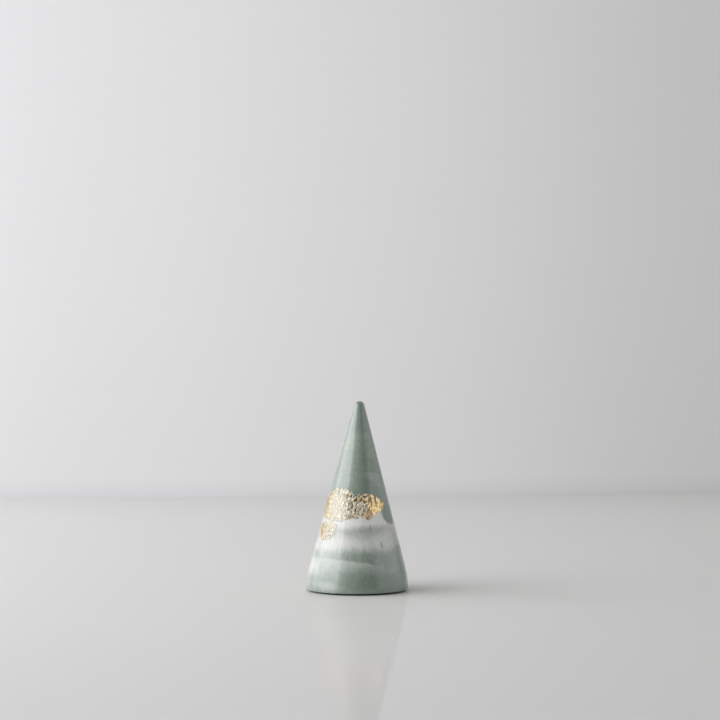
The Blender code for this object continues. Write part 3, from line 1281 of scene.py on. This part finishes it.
# Shades on the table and the wall, by where they start, where they end and how dark they get. The
# table's far shade ends at the wall.
TABLE_FAR_START = 0.45
TABLE_FAR_SHADE = 0.035
TABLE_NEAR = (-0.05, -0.40, 0.015)
WALL_RIGHT = (0.03, 0.35, 0.085)
WALL_LEFT = (-0.10, -0.30, 0.03)
WALL_UP = (0.0, 0.10, 0.01)
WALL_FOOT = (0.018, 0.0, 0.10)
BLACK = (0.0, 0.0, 0.0)
TABLE_GLOSS = (1.0, 0.985, 0.955)
TABLE_GLOSS_ROUGHNESS = 0.05

LENS = 100.0
SENSOR = 36.0
CAMERA_SIDE = 0.0016

CARD_AZIMUTH = math.radians(33)
CARD_HALF_ANGLE = math.radians(26)
CARD_HEIGHT = 1.2
CARD_COLOR = (0.01, 0.01, 0.01)
# Where the card's cover comes in and goes, in shares of its half width, and its most
CARD_IN = (-1.0, -0.5)
CARD_OUT = (0.0, 1.0)
CARD_COVER = 0.75

# How the softbox dims from one share of its width to the next towards its front edge, and how it
# brightens between two heights over its foot, each with by how much
SOFTBOX_EDGE = (0.66, 0.77, 0.8)
SOFTBOX_END = (0.76, 1.0, 0.2)
SOFTBOX_RISE = (0.14, 0.36, 0.32)
# How bright the room looks to the camera, in gloss and through glass
ROOM_SEEN = 0.45


class Lamp(NamedTuple):
    """Where a flat lamp stands, half of the angle that it fills for the cone, and its height."""

    azimuth: float
    half_angle: float
    height: float


LAMP_DISTANCE = 1.0
SOFTBOX = Lamp(math.radians(-70), math.radians(50), 1.19)
REFLECTOR = Lamp(math.radians(30), math.radians(55), 1.19)
BOARD = Lamp(math.radians(87), math.radians(40), 0.80)
WHITE = (1.0, 1.0, 1.0)
SOFTBOX_TINT = (1.0, 0.985, 1.01)
LEAF_TINT = (0.96, 1.0, 1.10)
OTHER_LAMP = "softbox"
LEAF_LAMPS = ("leaf_softbox", "leaf_reflector")


def table_finish(stage):
    """A satin table top that mirrors a little of what stands on it."""
    material, maker = new_material("pale_table")
    x, y, _ = maker.parts(maker.node("ShaderNodeTexCoord", out="Object"))
    depth = y * math.cos(WALL_TURN) - x * math.sin(WALL_TURN)
    shade = depth.ease(TABLE_FAR_START, stage.table_reach, TABLE_FAR_SHADE) + depth.ease(*TABLE_NEAR)
    color = maker.mix(shade, stage.table, BLACK)
    matt = maker.node("ShaderNodeBsdfDiffuse", {"Color": color})
    gloss = {"Color": TABLE_GLOSS, "Roughness": TABLE_GLOSS_ROUGHNESS}
    glossy = maker.node("ShaderNodeBsdfAnisotropic", gloss)
    put_out(maker, "ShaderNodeMixShader", {0: stage.table_sheen, 1: matt, 2: glossy})
    return material


def backdrop_finish(stage):
    """A matt pale wall, shaded out to its sides and at its foot."""
    material, maker = new_material("pale_wall")
    x, _, z = maker.parts(maker.node("ShaderNodeTexCoord", out="Object"))
    shade = x.ease(*WALL_RIGHT) + x.ease(*WALL_LEFT) + z.ease(*WALL_UP) + z.ease(*WALL_FOOT)
    color = maker.mix(shade, stage.backdrop, BLACK)
    put_out(maker, "ShaderNodeBsdfDiffuse", {"Color": color})
    return material


def stage_sheet(name, points, half_width, turn, finish):
    """A sheet swept sideways along a profile of depth and height, turned about the upright."""
    shape = bmesh.new()
    sides = [
        [shape.verts.new((side * half_width, depth, height)) for depth, height in points]
        for side in (-1, 1)
    ]
    for row in range(len(points) - 1):
        shape.faces.new((sides[0][row], sides[1][row], sides[1][row + 1], sides[0][row + 1]))
    matrix = Matrix.Rotation(turn, 3, "Z")
    bmesh.ops.rotate(shape, cent=(0, 0, 0), matrix=matrix, verts=shape.verts)
    mesh = finished_mesh(shape, name)
    mesh.shade_smooth()
    mesh.materials.append(finish)
    made = new_object(name, mesh)
    return made


def stand_lamp(name, lamp, radiance, color=WHITE):
    """A flat lamp that stands on the table line, facing the cone.

    It isn't seen by the camera itself, only in what it lights.
    """
    width = 2 * LAMP_DISTANCE * math.tan(lamp.half_angle)
    light = bpy.data.lights.new(name, "AREA")
    light.shape = "RECTANGLE"
    light.size = width
    light.size_y = lamp.height
    light.energy = radiance * math.pi * width * lamp.height
    light.color = color
    made = new_object(name, light)
    across, back = math.sin(lamp.azimuth), -math.cos(lamp.azimuth)
    made.location = (LAMP_DISTANCE * across, LAMP_DISTANCE * back, lamp.height / 2)
    made.rotation_euler = (math.pi / 2, 0.0, lamp.azimuth)
    made.visible_camera = False
    return light


def light_leaf(made):
    """Gives a sheet of leaf lamps of its own in place of the softbox that lights all else."""
    for name in (OTHER_LAMP, *LEAF_LAMPS):
        receivers = bpy.data.collections[name]
        receivers.objects.link(made)
        link = receivers.collection_objects[-1].light_linking
        link.link_state = "EXCLUDE" if name == OTHER_LAMP else "INCLUDE"


def dark_card():
    """A dark card beside the camera, which only glossy things mirror."""
    material, maker = new_material("dark_card")
    half_width = LAMP_DISTANCE * math.tan(CARD_HALF_ANGLE)
    x, y, _ = maker.parts(maker.node("ShaderNodeTexCoord", out="Object"))
    across = (x * math.cos(CARD_AZIMUTH) + y * math.sin(CARD_AZIMUTH)) / half_width
    cover = across.ease(*CARD_IN) * (1 - across.ease(*CARD_OUT)) * CARD_COVER
    clear = maker.node("ShaderNodeBsdfTransparent")
    dark = maker.node("ShaderNodeBsdfDiffuse", {"Color": CARD_COLOR})
    put_out(maker, "ShaderNodeMixShader", {0: cover, 1: clear, 2: dark})
    points = [(-LAMP_DISTANCE, 0.0), (-LAMP_DISTANCE, CARD_HEIGHT)]
    made = stage_sheet("dark_card", points, half_width, CARD_AZIMUTH, material)
    made.visible_camera = False
    made.visible_diffuse = False
    made.visible_shadow = False


def soften(light):
    """Dims a softbox towards its front edge and its foot, as its cloth does."""
    light.use_nodes = True
    light.node_tree.nodes.clear()
    maker = NodeMaker(light.node_tree)
    across, up, _ = maker.parts(maker.node("ShaderNodeNewGeometry", out="Parametric"))
    front = 1 - across.ease(*SOFTBOX_EDGE) - across.ease(*SOFTBOX_END)
    foot = 1 - SOFTBOX_RISE[-1] + (up * light.size_y).ease(*SOFTBOX_RISE)
    shine = maker.node("ShaderNodeEmission", {"Strength": front * foot})
    maker.node("ShaderNodeOutputLight", {"Surface": shine})


def room_light(stage):
    """Even light from all round, seen as a pale room by the camera, by gloss and through glass."""
    world = bpy.context.scene.world or bpy.data.worlds.new("pale_room")
    bpy.context.scene.world = world
    world.use_nodes = True
    world.node_tree.nodes.clear()
    maker = NodeMaker(world.node_tree)
    path = maker.node("ShaderNodeLightPath", out="Is Camera Ray")
    seen = maker.math("MAXIMUM", path, path.also("Is Glossy Ray"))
    seen = maker.math("MAXIMUM", seen, path.also("Is Transmission Ray"))
    strength = stage.room_light + (ROOM_SEEN - stage.room_light) * seen
    light = maker.node("ShaderNodeBackground", {"Strength": strength})
    maker.node("ShaderNodeOutputWorld", {"Surface": light})


class RINGCONE_OT_stage(bpy.types.Operator):
    """Set the pale table, the backdrop, the lamps and the camera"""

    bl_idname = "ringcone.stage"
    bl_label = "Stage"
    bl_options = {"REGISTER", "UNDO"}

    def execute(self, context):
        stage = settings().stage
        scene = context.scene
        view = bpy.data.cameras.new("camera")
        view.lens = LENS
        view.sensor_width = SENSOR
        camera = new_object("camera", view)
        camera.location = (CAMERA_SIDE, -stage.camera_distance, stage.camera_height)
        camera.rotation_euler = (math.pi / 2, 0.0, 0.0)
        scene.camera = camera
        scene.view_settings.view_transform = "Standard"

        reach = stage.table_reach
        table = [(TABLE_FRONT, 0.0), (reach - COVE_RADIUS, 0.0)]
        stage_sheet("table_top", table, TABLE_HALF_WIDTH, WALL_TURN, table_finish(stage))
        middle = Vector((reach - COVE_RADIUS, COVE_RADIUS))
        cove = arc(middle, COVE_RADIUS, -math.pi / 2, 0.0, COVE_STEPS)
        wall = [*cove, (reach, WALL_HEIGHT)]
        stage_sheet("backdrop", wall, WALL_HALF_WIDTH, WALL_TURN, backdrop_finish(stage))

        softboxes = (
            (OTHER_LAMP, stage.softbox_radiance, SOFTBOX_TINT),
            (LEAF_LAMPS[0], stage.leaf_radiance, LEAF_TINT),
        )
        for name, radiance, tint in softboxes:
            soften(stand_lamp(name, SOFTBOX, radiance, tint))
        stand_lamp(LEAF_LAMPS[1], REFLECTOR, stage.leaf_fill_radiance)
        for name in (OTHER_LAMP, *LEAF_LAMPS):
            receivers = bpy.data.collections.new(name)
            bpy.data.objects[name].light_linking.receiver_collection = receivers
        stand_lamp("white_board", BOARD, stage.board_radiance)
        dark_card()
        room_light(stage)
        return {"FINISHED"}


STEPS = (RINGCONE_OT_stage, RINGCONE_OT_clay_cone, RINGCONE_OT_gold_leaf, RINGCONE_OT_felt_pad)


class RINGCONE_PT_panel(bpy.types.Panel):
    """The ring cone's steps and settings"""

    bl_idname = "RINGCONE_PT_panel"
    bl_label = "Ring Cone"
    bl_space_type = "VIEW_3D"
    bl_region_type = "UI"
    bl_category = "Ring Cone"

    def draw(self, context):
        for step in STEPS:
            self.layout.operator(step.bl_idname)
        for group in ("cone", "clay", "leaf", "pad", "stage"):
            box = self.layout.box()
            box.label(text=group.title())
            chosen = getattr(settings(), group)
            for name in type(chosen).__annotations__:
                box.prop(chosen, name)


CLASSES = (
    ConeSettings,
    ClaySettings,
    LeafSettings,
    PadSettings,
    StageSettings,
    RingConeSettings,
    *STEPS,
    RINGCONE_PT_panel,
)


def register():
    """Adds the ring cone's settings, operators and panel."""
    for each in CLASSES:
        bpy.utils.register_class(each)
    bpy.types.Scene.ring_cone = PointerProperty(type=RingConeSettings)


def unregister():
    """Takes them away again."""
    del bpy.types.Scene.ring_cone
    for each in reversed(CLASSES):
        bpy.utils.unregister_class(each)


def main():
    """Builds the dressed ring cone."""
    register()
    bpy.ops.ringcone.stage()
    bpy.ops.ringcone.clay_cone()
    bpy.ops.ringcone.gold_leaf()
    bpy.ops.ringcone.felt_pad()


if __name__ == "__main__":
    main()
